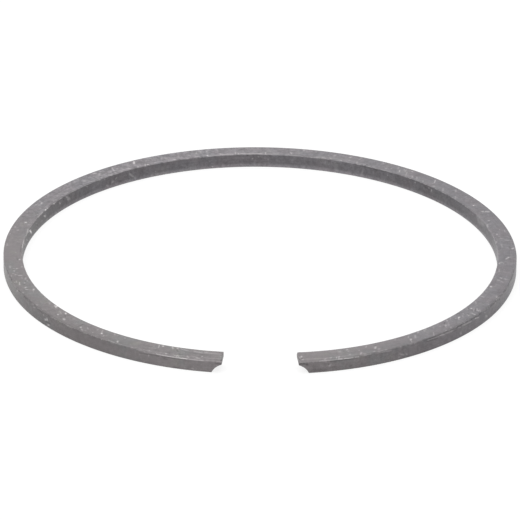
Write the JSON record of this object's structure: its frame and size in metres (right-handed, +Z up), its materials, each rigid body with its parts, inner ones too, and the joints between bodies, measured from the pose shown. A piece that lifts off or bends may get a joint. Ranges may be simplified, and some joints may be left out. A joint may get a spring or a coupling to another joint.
{
  "type": "piston ring",
  "caption": "Split compression ring for the piston of a small two-stroke engine, open in its free state, with a locating-peg notch under each end.",
  "frame": {"origin": "bore axis at the ring's lower side, on the surface that the ring lies on", "axes": "+Z up along the bore axis, out of the upper side; the gap faces -Y; +X across the ring, towards the right end seen from the gap"},
  "size_m": [0.0548, 0.0533, 0.0015],
  "materials": {
    "phosphated_cast_iron": "dark grey phosphate coating, satin"
  },
  "bodies": {
    "root": {"piston_ring": "phosphated_cast_iron"}
  },
  "joints": []
}
